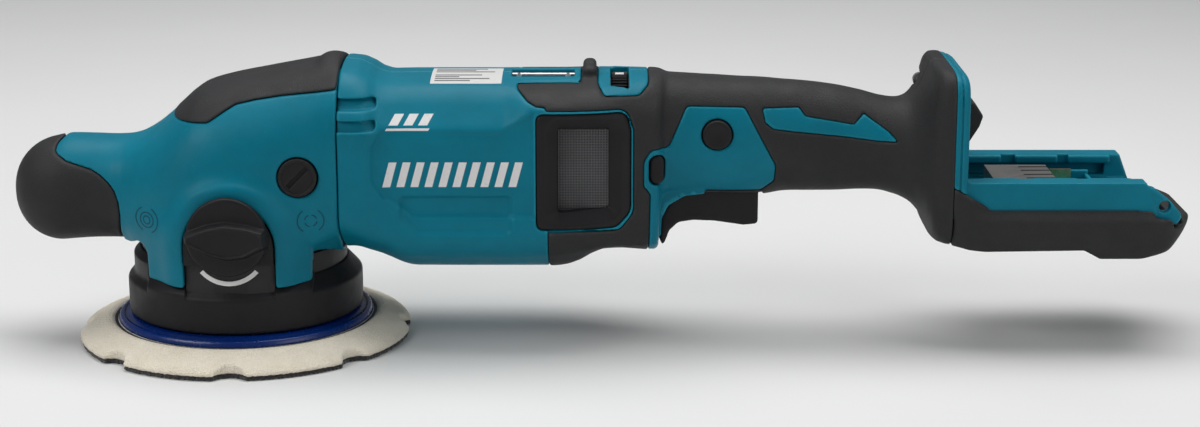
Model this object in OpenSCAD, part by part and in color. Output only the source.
// Dual action polisher, cordless, without its battery.
// The origin is on the drive spindle's axis, in the plane of the pad's face.
// +Z is up and away from the pad, +X runs back to the battery end, -Y is the mode knob's side.

/* [Pad] */
// Diameter of the pad
pad_d = 150; // [148:0.5:152]
// Thickness of the hook layer under the foam
hook_t = 2; // [1.5:0.1:2.5]
// Diameter of the blue backing plate
plate_d = 115; // [112:0.5:117]
// Number of notches round the foam's edge
notch_count = 8; // [6:1:10]
// How deep each notch cuts into the foam
notch_depth = 5; // [3:0.5:6]

/* [Drive] */
// Distance from the spindle's axis to the pad's axis, half of the orbit
orbit_radius = 2.75; // [2.75:0.01:2.75]
// Teeth on the pad's gear
pad_teeth = 35; // [35:1:35]
// Teeth on the ring gear round it
ring_teeth = 39; // [39:1:39]
// Teeth on the large bevel gear
bevel_teeth = 38; // [38:1:38]
// Teeth on the motor's bevel pinion
pinion_teeth = 12; // [12:1:12]

/* [Body] */
// Height of the motor's axis above the pad's face
motor_z = 75; // [75:0.1:75]
// Thickness of the rubber skin over the casing
skin_t = 2; // [1.5:0.1:2.5]
// Depth of the whole wall, skin included
wall_t = 4.5; // [4:0.1:5]
// Radius of the black ring around the drive
skirt_r = 53; // [52.5:0.1:53.5]

/* [Controls] */
// Travel of the trigger
trigger_travel = 6; // [4:0.5:6]
// Radius of the round lock button
lock_r = 6.6; // [6:0.1:7]
// Radius of the speed dial
dial_r = 12; // [11.5:0.1:12.2]
// Radius of the mode knob
knob_r = 17.6; // [16.5:0.1:18]

/* [Battery end] */
// Half the width across the battery rails
rail_y = 32.5; // [31.5:0.5:33.5]
// Radius of the lanyard hole
lanyard_r = 2.6; // [2:0.1:3]

/* [Hidden] */
$fn = 48;

teal = [0.02, 0.45, 0.52];
black = [0.1, 0.1, 0.11];
steel = [0.62, 0.63, 0.65];
cream = [0.85, 0.8, 0.68];
blue = [0.04, 0.1, 0.45];

fit = 0.05;
slice_t = 0.02;
pad_r = pad_d / 2;
foam_z = 9.5;
plate_r = plate_d / 2;
plate_top = 12.8;

// Sections of the body along X: [x, centre z, half height, half width, roundness]
nose_sections = [
  [-101.8, 67.6, 2.5, 5, 2], [-100.8, 67.6, 6.5, 9, 2], [-98.4, 67.4, 11.7, 14, 2.2],
  [-95.5, 67.3, 16, 19, 2.2], [-89.8, 66.8, 20.6, 22, 2.3], [-84.2, 67.2, 22.9, 23, 2.3],
  [-78.8, 67.9, 23.6, 23.5, 2.3], [-62.6, 68.6, 23.4, 23.3, 2.3], [-45, 68.6, 23.6, 25, 2.3]
];
head_sections = [
  [-47, 68.6, 23.6, 25, 2.3], [-41, 70, 27, 31, 2.4], [-36, 70, 30, 36, 2.5],
  [-28, 69, 34, 41, 2.6], [-16, 74, 43, 45.5, 2.7], [0, 74, 46, 47, 2.7],
  [16, 76, 47, 45.5, 2.7], [30, 79, 47, 43.6, 2.8], [48, 81, 46, 42.6, 3]
];
casing_sections = [
  [48.3, 84.4, 42.4, 42.6, 3], [57, 83.3, 42, 43, 3], [61, 81.9, 41.3, 42.4, 3],
  [67, 79.1, 40.5, 40.6, 3], [80, 76.6, 42.6, 40, 3], [143, 76.4, 42.8, 40, 3],
  [150, 77.6, 41.8, 39, 3], [158, 80.2, 39.4, 37, 3], [165, 81.4, 38, 34.5, 3],
  [175, 80.4, 38.6, 28.5, 2.8], [186, 80.4, 39.2, 25, 2.7], [188, 92.4, 27.2, 24, 2.6],
  [200, 92.2, 26.6, 21.5, 2.5], [234, 91.2, 26, 20, 2.5], [255, 91.1, 24.4, 18.5, 2.3],
  [277, 89.5, 22.3, 18.5, 2.2], [290, 87.5, 21.2, 19.5, 2.3], [298, 86, 24.4, 23, 2.5],
  [303, 86.2, 28.6, 27.4, 2.8], [308.5, 87, 38.2, 32.6, 4], [316, 86, 39.2, 35, 5]
];
casing_end = 316;
// The same sections, run on past both ends, for cutting the inside
inner_sections = concat([[47.3, 84.4, 42.4, 42.6, 3]], casing_sections, [[317, 86, 39.2, 35, 5]]);

// Outlines seen from the side, as [x, z]
nose_outline = [
  [-110, 100], [-79, 100], [-79, 92], [-84.5, 84.5], [-82, 78.5], [-73, 76], [-66, 73],
  [-60, 70], [-57, 65.5], [-55, 60], [-54.5, 46], [-54.5, 35], [-110, 35]
];
head_pad_outline = [
  [-29, 99], [-28, 103], [-8, 102.5], [2, 110.5], [22, 115.5], [50, 118.5], [50, 140], [-29, 140]
];
skin_outline = [
  [122, 140], [122, 121], [131, 112.8], [137.5, 111], [133.5, 109], [133.5, 57], [138.5, 57],
  [138.5, 20], [330, 20], [330, 140]
];
panel_outline = [
  [199.5, 108.4], [225, 107.5], [239, 81.4], [238.7, 73.7], [233, 68.7], [199.4, 70.5],
  [184, 70.5], [181, 76], [181, 85], [191.2, 90.4]
];
stripe_outline = [
  [232.6, 106.7], [248.9, 107.1], [252.1, 103.5], [273.8, 99.9], [278.1, 104.2], [293.4, 92.2],
  [271.7, 94.1], [249.6, 96.3], [236.3, 98.6], [232.7, 101.3]
];
dial_outline = [[160, 140], [160, 113], [164, 109.5], [180, 109.5], [184, 113], [184, 140]];
trigger_outline = [
  [189.6, 43.9], [188.2, 46], [188.4, 56], [197, 65.2], [197, 69], [232.5, 69], [232.5, 52],
  [226, 51.4], [205, 53.2], [197, 51.2], [192, 45]
];
foot_outline = [
  [316.2, 48.6], [324, 47.4], [332, 46.8], [375, 46.8], [381.6, 42.7], [406, 42.7], [415, 46], [424, 54],
  [424, 58.4], [404, 60.8], [316.2, 60.8]
];
foot_wall_outline = [[322.2, 60.8], [322.2, 71.6], [332.6, 65.6], [403.6, 65.6], [406, 60.8]];
rail_outline = [[321, 66], [321, 76.6], [398, 76.6], [403, 66]];
lobe_outline = [[399, 62], [401, 75], [404, 75], [412, 69], [418, 62], [416, 58.6], [404, 60.5]];
buffer_outline = [
  [322.1, 107], [326.3, 105.5], [329, 105.8], [333.2, 99], [331.2, 93.5], [327, 88], [322.1, 86]
];

inlet = [133.5, 57.5, 173.5, 109];
mesh = [143, 65, 165, 102.5];
lock_at = [213, 95.8];
dial_at = [170, 107.8];
ring_slot = [122, 150];
knob_z = 57.5;
knob_face = 55;
mode_swing = 1.5;
pin_y = -39.5;
plug_at = [30.2, 81.9];
lanyard_at = [409.5, 66];
switch_z = 79;
screw_places = [[117, 108], [117, 44.5], [180, 112], [180, 50], [243, 77], [285, 77], [306, 114]];

loom_route = [
  [148, 12, 59.4], [158, 13, 62], [170, 14, 72], [180, 13, 88], [188, 12, 99], [205, 11, 102],
  [240, 10, 101], [270, 9, 98], [292, 8, 92], [304, 8, 80], [309, 8, 64], [315, 8, 57.2],
  [322, 8, 55.2], [336, 8, 55], [344, 8, 57], [346, 8, 60]
];

function superellipse(w, h, n, count = 22) = [
  for (i = [0:count - 1]) let (a = 360 * i / count, c = cos(a), s = sin(a))
    [w * sign(c) * pow(abs(c), 2 / n), h * sign(s) * pow(abs(s), 2 / n)]
];

// Involute function of a radius, in degrees
function roll_angle(r, base) = let (a = acos(min(1, base / r))) tan(a) * 180 / PI - a;

// Outline of a spur gear with a tooth centred on -Y
function spur_points(teeth, m, tip, root, share) =
  let (
    pitch = teeth * m / 2,
    base = pitch * cos(30),
    half = 90 / teeth * share,
    radii = [root, (root + tip) / 2, tip],
    offset_at = function(r) half + roll_angle(pitch, base) - roll_angle(r, base)
  )
  [
    for (i = [0:teeth - 1]) let (mid = 360 * i / teeth - 90)
      for (k = [0:5]) let (r = k < 3 ? radii[k] : radii[5 - k], side = k < 3 ? -1 : 1)
        [r * cos(mid + side * offset_at(r)), r * sin(mid + side * offset_at(r))]
  ];

// Outline of a bevel gear in the plane across its axis, tooth centred on the X axis
function bevel_points(teeth, pitch, tip, root, first, share = 1) = [
  for (i = [0:teeth - 1]) let (mid = 360 * (i + first) / teeth, step = 360 / teeth)
    for (k = [[root, -0.3], [pitch, -0.19], [tip, -0.09], [tip, 0.09], [pitch, 0.19], [root, 0.3]])
      [k[0] * cos(mid + k[1] * share * step), k[0] * sin(mid + k[1] * share * step)]
];

function unit(v) = v / norm(v);

module section(s, inset = 0, dx = 0) {
  translate([s[0] + dx, 0, s[1]]) rotate([90, 0, 90])
    linear_extrude(slice_t) polygon(superellipse(s[3] - inset, s[2] - inset, s[4]));
}

module loft(sections, inset = 0) {
  for (i = [0:len(sections) - 2])
    hull() {
      section(sections[i], inset);
      section(sections[i + 1], inset, -slice_t);
    }
}

// A side outline, extruded between two values of Y
module from_side(points, y0 = -90, y1 = 90) {
  rotate([90, 0, 0]) translate([0, 0, -y1]) linear_extrude(y1 - y0) polygon(points);
}

module box(x0, x1, y0, y1, z0, z1) {
  translate([x0, y0, z0]) cube([x1 - x0, y1 - y0, z1 - z0]);
}

// A cylinder along Y at [x, z], between two values of Y
module rod_y(at, r, y0, y1) {
  translate([at[0], y0, at[1]]) rotate([-90, 0, 0]) cylinder(r = r, h = y1 - y0);
}

// A cylinder along X at [y, z], between two values of X
module rod_x(at, r, x0, x1) {
  translate([x0, at[0], at[1]]) rotate([0, 90, 0]) cylinder(r = r, h = x1 - x0);
}

module ring(r_in, r_out, z0, z1) {
  translate([0, 0, z0]) difference() {
    cylinder(r = r_out, h = z1 - z0);
    translate([0, 0, -1]) cylinder(r = r_in, h = z1 - z0 + 2);
  }
}

// A ball bearing: two races and a row of balls
module bearing(r_in, r_out, z0, z1, balls) {
  race = (r_out - r_in) * 0.28;
  mid = (r_in + r_out) / 2;
  ball = (r_out - r_in) / 2 - race;
  ring(r_in, r_in + race, z0, z1);
  ring(r_out - race, r_out, z0, z1);
  for (i = [0:balls - 1])
    rotate([0, 0, 360 * i / balls]) translate([mid, 0, (z0 + z1) / 2]) sphere(r = ball - 0.02, $fn = 16);
}

module on_side(side) {
  if (side < 0) box(-120, 430, -90, 0, -10, 150);
  else box(-120, 430, 0, 90, -10, 150);
}

// ---- Casing, covers and grips ----

// Everything that passes through the casing's wall
module casing_openings() {
  box(189, 234.4, -10.2, 10.2, 60, 76);
  box(dial_at[0] - 4.2, dial_at[0] + 4.2, -11.4, 11.4, 104, 130);
  box(ring_slot[0], ring_slot[1], -8.6, 8.6, 115.4, 130);
  rod_x([6, 117.4], 1.3, ring_slot[0] - 1.6, ring_slot[1] + 1.6);
  rod_y(lock_at, lock_r + 0.4, -40, 0);
  hull() for (dz = [-3.3, 3.3]) rod_y([186.3, 82.1 + dz], 3.6, -40, 0);
  box(mesh[0] - 2, mesh[2] + 2, -45, 45, mesh[1] - 2, mesh[3] + 2);
}

module inlet_block(inset, y_in) {
  for (side = [-1, 1])
    translate([0, side > 0 ? y_in : -y_in - 20, 0])
      box(inlet[0] + inset, inlet[2] - inset, 0, 20, inlet[1] + inset, inlet[3] - inset);
}

module skin_area() {
  difference() {
    from_side(skin_outline);
    from_side(panel_outline);
    from_side(stripe_outline);
    from_side(dial_outline);
    inlet_block(0, 25);
  }
}

module screw_posts() {
  intersection() {
    for (p = screw_places) rod_y(p, 4.5, -40, 40);
    loft(casing_sections, wall_t - 0.5);
  }
}

module casing_half(side) {
  $fn = 16;
  intersection() {
    difference() {
      union() {
        difference() {
          loft(casing_sections);
          loft(inner_sections, wall_t);
          difference() {
            skin_area();
            loft(inner_sections, skin_t);
          }
          inlet_block(0, 25);
        }
        screw_posts();
      }
      casing_openings();
      for (p = screw_places) {
        rod_y(p, 1.65, -12, 41);
        rod_y(p, 3.5, 12, 45);
      }
    }
    on_side(side);
  }
}

module grip_cover_half(side) {
  $fn = 16;
  difference() {
    intersection() {
      loft(casing_sections);
      skin_area();
      on_side(side);
    }
    loft(inner_sections, skin_t - 0.02);
    casing_openings();
    for (p = screw_places) rod_y(p, 3.5, 12, 45);
  }
}

module casing_left() { color(teal) casing_half(-1); }
module casing_right() { color(teal) casing_half(1); }
module grip_cover_left() { color(black) grip_cover_half(-1); }
module grip_cover_right() { color(black) grip_cover_half(1); }

// Opening of the head cover around the mode knob
module arch(r, y0, y1) {
  rod_y([0, 51.5], r, y0, y1);
  box(-r, r, y0, y1, 20, 51.5);
}

module head_pad_area() { from_side(head_pad_outline); }

module head_cover() {
  $fn = 40;
  color(teal) difference() {
    union() {
      loft(head_sections);
      difference() {
        translate([0, 0, 34]) cylinder(r = 50.2, h = 22);
        box(-60, -38.3, -60, 60, 0, 60);
        box(35.4, 60, -60, 60, 0, 60);
      }
      intersection() {
        union() {
          arch(27, -50.2, -40);
          arch(27, 40, 50.2);
        }
        box(-38.3, 35.4, -60, 60, 36.2, 90);
      }
      intersection() {
        loft(nose_sections);
        box(-90, -44, -60, 60, 0, 120);
      }
    }
    loft([for (s = head_sections) [s[0] + (s[0] > 40 ? 1 : 0), s[1], s[2], s[3], s[4]]], wall_t);
    intersection() {
      loft(nose_sections, wall_t);
      box(-120, -44, -60, 60, 0, 120);
    }
    from_side(nose_outline);
    difference() {
      head_pad_area();
      loft(head_sections, skin_t);
    }
    translate([0, 0, -1]) cylinder(r = 46.7, h = 59);
    box(-60, 60, -60, 60, -1, 36.2);
    from_side([[-60, 30], [-60, 44.9], [-47, 44.9], [-42, 41], [-38.3, 36], [-38.3, 30]]);
    from_side([[35.4, 30], [35.4, 53.5], [42, 57], [50.5, 60], [60, 60], [60, 30]]);
    arch(20, -60, -30);
    arch(20, 30, 60);
    rod_y(plug_at, 8.8, -60, 60);
  }
}

module head_pad() {
  color(black) intersection() {
    difference() {
      loft(head_sections);
      loft(head_sections, skin_t);
    }
    head_pad_area();
  }
}

module front_grip() {
  color(black) intersection() {
    difference() {
      loft(nose_sections);
      loft([for (s = nose_sections) [s[0] < -95 ? s[0] + 4.5 : s[0], s[1], s[2], s[3], s[4]]], wall_t);
    }
    from_side(nose_outline);
  }
}

// ---- Head: gear housing, bearings and drive ----

module gear_housing() {
  flange_r = 31;
  color("dimgray") difference() {
    union() {
      translate([0, 0, 44.2]) cylinder(r = 40, h = 21.8);
      translate([0, 0, 66]) cylinder(r = 31, h = 30.4);
      rod_x([0, motor_z], 24, 0, 47.5);
      rod_x([0, motor_z], 36, 43, 47.5);
      rod_y(plug_at, 7, -38, 38);
      arch(19.4, -50.5, -36);
      arch(19.4, 36, 50.5);
    }
    box(-60, 60, -60, 60, 10, 44.2);
    translate([0, 0, 40]) cylinder(r = 16.4, h = 30);
    translate([0, 0, 46]) cylinder(r = 20, h = 12);
    translate([0, 0, 58]) cylinder(r = 28, h = 26);
    translate([0, 0, 80]) cylinder(r = 9, h = 30);
    translate([0, 0, 86]) cylinder(r = 13, h = 8);
    rod_x([0, motor_z], 10.2, 0, 31);
    rod_x([0, motor_z], 11, 30, 37);
    rod_x([0, motor_z], 9, 36, 50);
    for (side = [-1, 1]) rod_y(plug_at, 4, side > 0 ? 28 : -60, side > 0 ? 60 : -28);
    // Knob shaft, follower pocket and pin guide
    rod_y([0, knob_z], 4 + fit, -60, -43);
    box(-8, 8, -43.4, -36.6, 49.5, 65.5);
    translate([0, pin_y, 40]) cylinder(r = 2 + fit, h = 12);
    for (a = [45:90:315])
      translate([0, 0, motor_z]) rotate([a, 0, 0]) rod_x([flange_r, 0], 2.1, 40, 50);
  }
}

module housing_screws() {
  color(steel)
    for (a = [45:90:315])
      translate([0, 0, motor_z]) rotate([a, 0, 0]) {
        rod_x([31, 0], 2.1, 43, 52.5);
        rod_x([31, 0], 3.8, 39.5, 43);
      }
}

module lower_housing() {
  color(black) difference() {
    union() {
      translate([0, 0, 20]) cylinder(r = 46, h = 24.2);
      arch_foot();
    }
    translate([0, 0, 19]) cylinder(r = 40.5, h = 30);
    translate([0, 0, 21]) cylinder(r = 42.5, h = 10);
    translate([0, 0, 31]) cylinder(r = 42.3, h = 14);
  }
}

module arch_foot() {
  for (side = [-1, 1]) intersection() {
    box(-19.4, 19.4, side > 0 ? 40 : -50, side > 0 ? 50 : -40, 28.2, 44.2);
    translate([0, 0, 20]) cylinder(r = 50.4, h = 30);
  }
}

module skirt() {
  inner = skirt_r - 2.4;
  color(black) {
    difference() {
      union() {
        ring(inner, skirt_r, 13.5, 28);
        ring(46.1, inner + 0.5, 25.5, 28);
        difference() {
          ring(inner, skirt_r, 27, 40);
          from_side([[-80, 80], [-80, 41], [-49, 41], [-46, 35.9], [36, 35.9], [44, 41], [80, 29], [80, 80]]);
          box(-19.8, 60, -60, -20, 28, 50);
          box(-19.8, 19.8, 0, 60, 28, 50);
        }
        intersection() {
          ring(inner, skirt_r, 27, 36);
          box(20.2, 35.2, -60, 0, 20, 50);
        }
      }
    }
  }
}

module lower_bearing() { color(steel) bearing(8.5, 20, 46, 58, 9); }
module upper_bearing() { color(steel) bearing(5, 13, 86, 94, 8); }
module ring_bearing() { color(steel) bearing(32.5, 42.5, 21, 31, 20); }

module motor_bearing(x0) {
  color(steel) translate([x0, 0, motor_z]) rotate([0, 90, 0]) bearing(4, 11, 0, 7, 7);
}

module motor_front_bearing() { motor_bearing(30); }
module motor_rear_bearing() { motor_bearing(103); }

module spindle_shaft() {
  color(steel) {
    translate([0, 0, 34]) cylinder(r = 15.95, h = 10);
    translate([0, 0, 44]) cylinder(r = 8.5 - fit, h = 16);
    translate([0, 0, 60]) cylinder(r = 7, h = 12);
    difference() {
      translate([0, 0, 72]) cylinder(r = 5 - fit, h = 26);
      ring(4.2, 6, 95, 96.2);
    }
    translate([0, -orbit_radius, 17.2]) cylinder(r = 6 - fit, h = 17);
  }
}

module counterweight() {
  color("gray") difference() {
    ring(15.95, 36, 34.6, 42);
    box(-40, 40, -40, -5, 30, 50);
  }
}

module spindle_clip() { color(steel) ring(4.2, 7.5, 95.05, 96.15); }

module bevel_gear() {
  inner_scale = 0.692;
  color(steel) difference() {
    union() {
      translate([0, 0, 60]) cylinder(r = 12, h = 4);
      intersection() {
        union() {
          translate([0, 0, 65.4]) linear_extrude(4.2, scale = inner_scale)
            polygon(bevel_points(bevel_teeth, 24.7, 29.8, 20.3, 0, 0.85));
          translate([0, 0, 63]) cylinder(r = 26, h = 2.8);
        }
        translate([0, 0, 60]) cylinder(r1 = 20, r2 = 27, h = 10);
      }
    }
    translate([0, 0, 59]) cylinder(r = 7, h = 14);
  }
}

module pinion() {
  color(steel) translate([0, 0, motor_z]) difference() {
    union() {
      rod_x([0, 0], 7, 24.7, 28.5);
      translate([24.7, 0, 0]) rotate([0, -90, 0]) rotate([0, 0, 180])
        linear_extrude(7.6, scale = 0.692) polygon(bevel_points(pinion_teeth, 7.8, 8.8, 6.2, 0.5, 0.8));
    }
    rod_x([0, 0], 4 - fit, 10, 40);
  }
}

module rotor_shaft() { color(steel) rod_x([0, motor_z], 4 - fit, 16.5, 116); }

module rotor_core() {
  color("gray") difference() {
    rod_x([0, motor_z], 14, 66, 98);
    rod_x([0, motor_z], 4 - fit, 50, 110);
  }
}

module fan() {
  color(black) translate([0, 0, motor_z]) difference() {
    union() {
      rod_x([0, 0], 7, 48.6, 56.5);
      rod_x([0, 0], 26.5, 55, 56.5);
      for (a = [0:30:330]) rotate([a, 0, 0]) box(49, 55.2, 6, 25.5, -0.6, 0.6);
    }
    rod_x([0, 0], 4 - fit, 40, 60);
  }
}

module motor_can() {
  color("silver") translate([0, 0, motor_z]) difference() {
    rod_x([0, 0], 30.4, 64, 112);
    rod_x([0, 0], 28, 50, 102);
    rod_x([0, 0], 9, 100, 120);
    rod_x([0, 0], 11, 103, 110);
    for (a = [0:60:300]) rotate([a, 0, 0]) rod_x([20, 0], 5, 100, 120);
  }
}

module stator_core() {
  color("gray") translate([0, 0, motor_z]) difference() {
    rod_x([0, 0], 28, 66, 98);
    rod_x([0, 0], 14.6, 50, 110);
    for (a = [30:60:330]) rotate([a, 0, 0]) rod_x([20.5, 0], 5, 50, 110);
  }
}

module stator_coils() {
  color([0.72, 0.4, 0.2]) translate([0, 0, motor_z])
    for (a = [30:60:330]) rotate([a, 0, 0]) rod_x([20.5, 0], 4.6, 64.5, 100);
}

module front_baffle() {
  color(black) difference() {
    intersection() {
      loft(casing_sections, wall_t + 0.1);
      box(48.6, 52.5, -60, 60, 0, 150);
    }
    rod_x([0, motor_z], 26.4, 40, 60);
    for (a = [45:90:315])
      translate([0, 0, motor_z]) rotate([a, 0, 0]) rod_x([31, 0], 2.1, 40, 60);
  }
}

module mode_knob() {
  color(black) {
    rod_y([0, knob_z], knob_r, -knob_face + 0.2, -50.8);
    rod_y([0, knob_z], 4, -50.8, -43.6);
    rod_y([0, knob_z + mode_swing], 1.5, -43.6, -38.2);
    from_side([
      [-17, 54.9], [-17, 60.1], [-9, 64], [0, 65.6], [9, 64.2], [17, 61.6],
      [17, 53.4], [9, 50.8], [0, 49.4], [-9, 51]
    ], -58.5, -knob_face + 0.2);
  }
}

module mode_pin() {
  slot_z = knob_z + mode_swing;
  color(steel) {
    difference() {
      box(-6.6, 6.6, -42.4, -37.4, 54.6, 63.2);
      box(-3.6, 3.6, -43, -37, slot_z - 1.9, slot_z + 1.9);
    }
    translate([0, pin_y, 34.5]) cylinder(r = 2, h = 20.2);
  }
}

module ring_gear() {
  color(steel) difference() {
    union() {
      rotate([0, 0, 30]) rotate_extrude()
        polygon([[0, 22], [32.5 - fit, 22], [32.5 - fit, 31.4], [36, 31.4], [36, 33.8], [0, 33.8]]);
      for (a = [-60:60:240]) rotate([0, 0, a]) box(33, 41, -5, 5, 31.4, 33.8);
    }
    translate([0, 0, 21])
      linear_extrude(14) polygon(spur_points(ring_teeth, 1.375, 27.98, 25.99, 1.04));
  }
}

module pad_gear() {
  color(steel) translate([0, -orbit_radius, 22]) difference() {
    linear_extrude(8) polygon(spur_points(pad_teeth, 1.375, 24.86, 22.9, 0.94));
    translate([0, 0, -1]) cylinder(r = 17, h = 10);
  }
}

module pad_hub() {
  color(steel) translate([0, -orbit_radius, 0]) difference() {
    union() {
      translate([0, 0, plate_top]) cylinder(r = 17, h = 20.6);
      translate([0, 0, plate_top]) cylinder(r = 24, h = 3);
    }
    translate([0, 0, 16.8]) cylinder(r = 14, h = 20);
    translate([0, 0, 10]) cylinder(r = 4, h = 10);
  }
}

module pad_bearings() {
  color(steel) translate([0, -orbit_radius, 0]) {
    bearing(6, 14, 16.8, 24.8, 8);
    bearing(6, 14, 25.3, 33.3, 8);
  }
}

// Threaded stud of the backing plate, screwed into the hub
module pad_stud() {
  color(steel) translate([0, -orbit_radius, 0]) {
    translate([0, 0, foam_z]) cylinder(r = 13, h = 1.6);
    translate([0, 0, foam_z]) cylinder(r = 4, h = 6.9);
  }
}

module backing_plate() {
  color(blue) translate([0, -orbit_radius, 0]) difference() {
    rotate_extrude($fn = 96)
      polygon([[3.9, foam_z], [plate_r, foam_z], [plate_r, 10.6], [plate_r - 3, 12.2], [46, 12.8], [3.9, 12.8]]);
    translate([0, 0, 8]) cylinder(r = 13, h = 3.1);
    translate([0, 0, 8]) cylinder(r = 4, h = 10);
  }
}

module pad_gasket() {
  color("darkslategray") translate([0, -orbit_radius, 0]) ring(plate_r + 0.05, plate_r + 2.4, 8.6, 10.3);
}

module edge_notches() {
  for (i = [0:notch_count - 1])
    rotate([0, 0, 360 * i / notch_count - 88]) translate([pad_r + 7.5 - notch_depth, 0, -1])
      cylinder(r = 7.5, h = 20);
}

module pad_foam() {
  color(cream) translate([0, -orbit_radius, 0]) difference() {
    rotate_extrude($fn = 96)
      polygon([
        [0, hook_t], [pad_r - 0.8, hook_t], [pad_r, 3.4], [pad_r - 0.6, 4.8], [pad_r - 3, 5.6],
        [plate_r + 2.5, 9.4], [plate_r + 2.5, 8.5], [plate_r, 8.5], [plate_r, foam_z], [0, foam_z]
      ]);
    edge_notches();
  }
}

module hook_layer() {
  color(black) translate([0, -orbit_radius, 0]) difference() {
    cylinder(r = pad_r - 0.7, h = hook_t, $fn = 96);
    edge_notches();
  }
}

// ---- Controls ----

module trigger() {
  color(black) {
    from_side(trigger_outline, -9.6, 9.6);
    translate([205, 0, 68.9]) cylinder(r = 3, h = 3.1);
  }
}

module trigger_spring() {
  color(steel) translate([222, 0, 0]) ring(3, 4, 69.05, switch_z - 0.1);
}

module lock_off_button() {
  color(black) {
    rod_y(lock_at, lock_r, -22.4, -12.6);
    rod_y(lock_at, lock_r + 1.6, -14.4, -12.6);
  }
}

module lock_on_button() {
  color(black) hull() for (dz = [-3.3, 3.3]) rod_y([186.3, 82.1 + dz], 3.2, -26.2, -16);
}

module speed_dial() {
  color(black) difference() {
    union() {
      rod_x([0, dial_at[1]], dial_r, dial_at[0] - 3.7, dial_at[0] + 3.7);
      for (a = [0:15:345])
        translate([0, 0, dial_at[1]]) rotate([a, 0, 0])
          rod_x([0, dial_r - 0.2], 0.7, dial_at[0] - 3.7, dial_at[0] + 3.7);
    }
    rod_x([0, dial_at[1]], 2 + fit, dial_at[0] - 5, dial_at[0] + 5);
  }
}

module hang_ring() {
  x = [ring_slot[0] + 3, ring_slot[1] - 3];
  color(steel) {
    rod_x([6, 117.4], 1.2, ring_slot[0] - 1.3, ring_slot[1] + 1.3);
    rod_x([-5, 117.4], 1.2, x[0], x[1]);
    for (px = x) {
      rod_y([px, 117.4], 1.2, -5, 6);
      translate([px, -5, 117.4]) sphere(r = 1.2);
    }
  }
}

module side_plug(side) {
  color(black) difference() {
    union() {
      rod_y(plug_at, 8.3, side > 0 ? 39.4 : -43.6, side > 0 ? 43.6 : -39.4);
      rod_y(plug_at, 4, side > 0 ? 28 : -39.5, side > 0 ? 39.5 : -28);
    }
    translate([plug_at[0], 0, plug_at[1]]) rotate([0, 45, 0])
      box(-7, 7, side > 0 ? 42 : -45, side > 0 ? 45 : -42, -0.9, 0.9);
  }
}

module side_plugs() {
  side_plug(-1);
  side_plug(1);
}

// ---- Air inlets ----

module inlet_frame(side) {
  color(black) intersection() {
    difference() {
      loft(casing_sections, -1);
      loft(casing_sections, wall_t);
      box(mesh[0], mesh[2], -60, 60, mesh[1], mesh[3]);
    }
    inlet_block(0.1, 25.1);
    on_side(side);
  }
}

module inlet_frames() {
  inlet_frame(-1);
  inlet_frame(1);
}

module inlet_mesh(side) {
  y0 = side > 0 ? 30.6 : -31.4;
  rows = 8;
  pitch = (mesh[3] - mesh[1]) / rows;
  color("gray") difference() {
    intersection() {
      box(mesh[0] - 1.5, mesh[2] - 0.2, y0, y0 + 0.8, mesh[1] - 1.5, mesh[3] + 1.5);
      loft([for (s = casing_sections) if (s[0] > 130 && s[0] < 190) s], wall_t + 0.1);
    }
    for (i = [0:rows - 1])
      box(mesh[0] + 1, mesh[2] - 1, y0 - 1, y0 + 2, mesh[1] + i * pitch + 1.2, mesh[1] + (i + 1) * pitch - 1.2);
  }
}

module inlet_meshes() {
  inlet_mesh(-1);
  inlet_mesh(1);
}

// ---- Electrics ----

module controller() {
  color("silver") box(123, 152, -19, 19, 46, 55);
  color("darkgreen") box(124, 151, -18, 18, 55, 57);
}

module switch_unit() {
  color(black) {
    box(197, 231, -9.8, 9.8, switch_z, 95);
    box(200, 210, -3, 3, switch_z + 15, 98);
  }
}

module dial_board() {
  color("darkgreen") box(158, 178, -9, 9, 92, 93.6);
  color("gray") {
    box(158.6, 165.6, -5, 5, 93.6, 112);
    rod_x([0, dial_at[1]], 2, 165.6, 174.6);
  }
}

module wire_loom() {
  r = 2.2;
  sides = 8;
  n = len(loom_route);
  rings = [
    for (i = [0:n - 1])
      let (
        t = unit(loom_route[min(i + 1, n - 1)] - loom_route[max(i - 1, 0)]),
        u = [0, 1, 0] - ([0, 1, 0] * t) * t,
        e = unit(u),
        f = cross(t, e)
      )
      for (k = [0:sides - 1])
        loom_route[i] + r * (cos(360 * k / sides) * e + sin(360 * k / sides) * f)
  ];
  walls = [
    for (i = [0:n - 2]) for (k = [0:sides - 1])
      let (a = i * sides + k, b = i * sides + (k + 1) % sides)
        each [[a, a + sides, b], [b, a + sides, b + sides]]
  ];
  caps = [[for (k = [0:sides - 1]) k], [for (k = [sides - 1:-1:0]) (n - 1) * sides + k]];
  color("darkred") polyhedron(rings, concat(walls, caps), convexity = 6);
}

module terminal_block() {
  color([0.25, 0.22, 0.2]) difference() {
    box(337, 365, -15, 15, 66, 74);
    for (y = [-11, -4, 4, 11]) box(352, 366, y - 1, y + 1, 68, 75);
  }
}

module terminal_blades() {
  color("goldenrod")
    for (y = [-11, 11]) box(352.2, 376, y - 0.5, y + 0.5, 68.2, 73);
}

// ---- Battery end ----

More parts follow.
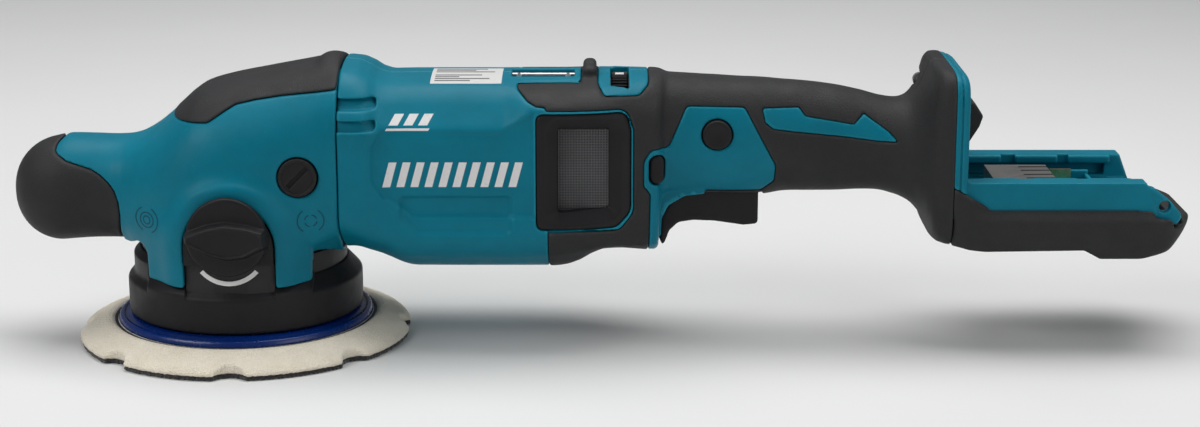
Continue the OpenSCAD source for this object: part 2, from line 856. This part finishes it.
module battery_mount() {
  color(teal) difference() {
    union() {
      hull() {
        section([casing_end + 0.2, 86, 39.2, 35, 5]);
        section([319.6, 84.6, 38.4, 35, 5]);
      }
      hull() {
        section([319.6, 84.6, 38.4, 35, 5]);
        section([322, 83, 37.4, 34.6, 5]);
      }
      box(318, 403, -33, 33, 60.5, 66);
      from_side(rail_outline, -rail_y, -24);
      from_side(rail_outline, 24, rail_y);
      for (side = [-1, 1]) box(330, 396, side > 0 ? 22 : -24.1, side > 0 ? 24.1 : -22, 73.4, 76.6);
      from_side(lobe_outline, -rail_y, -27);
    }
    box(310, 330, -60, 60, 30, 60.5);
    rod_y(lanyard_at, lanyard_r, -60, 60);
    box(310, 330, -12, 12, 100, 118);
    translate([390, 0, 60]) cylinder(r = 7, h = 7);
    translate([346, 8, 60]) cylinder(r = 3, h = 7);
  }
}

module battery_buffer() {
  color(black) {
    from_side(buffer_outline, -8, 8);
  }
}

module foot_pad() {
  color(black) difference() {
    union() {
      from_side(foot_outline, -37, 37);
      from_side(foot_wall_outline, -35.4, 35.4);
    }
    box(310, 415, -31, 31, 50, 62);
    box(310, 407, -33.4, 33.4, 60.4, 80);
    box(310, 322.2, -38, 38, 60.4, 80);
    box(397, 419.5, -33.4, -26.6, 57.6, 80);
  }
}

// ---- Small trim ----

module casing_screws() {
  color(steel)
    for (p = screw_places) {
      rod_y(p, 3.2, 12.1, 15);
      rod_y(p, 1.6, -11.9, 12.2);
    }
}

module rating_label() {
  color("white") intersection() {
    difference() {
      loft(casing_sections, -0.25);
      loft(casing_sections, 0);
    }
    box(88, 118.4, -32, -10, 100, 125);
  }
}

casing_left();
casing_right();
grip_cover_left();
grip_cover_right();
head_cover();
head_pad();
front_grip();
gear_housing();
housing_screws();
lower_housing();
skirt();
lower_bearing();
upper_bearing();
ring_bearing();
motor_front_bearing();
motor_rear_bearing();
motor_can();
stator_core();
stator_coils();
front_baffle();
controller();
switch_unit();
dial_board();
terminal_block();
terminal_blades();
battery_mount();
battery_buffer();
foot_pad();
inlet_frames();
inlet_meshes();
side_plugs();
casing_screws();
rating_label();
wire_loom();
spindle_shaft();
bevel_gear();
counterweight();
spindle_clip();
rotor_shaft();
rotor_core();
pinion();
fan();
pad_hub();
pad_gear();
pad_bearings();
pad_stud();
backing_plate();
pad_gasket();
pad_foam();
hook_layer();
ring_gear();
mode_knob();
mode_pin();
trigger();
trigger_spring();
lock_off_button();
lock_on_button();
speed_dial();
hang_ring();
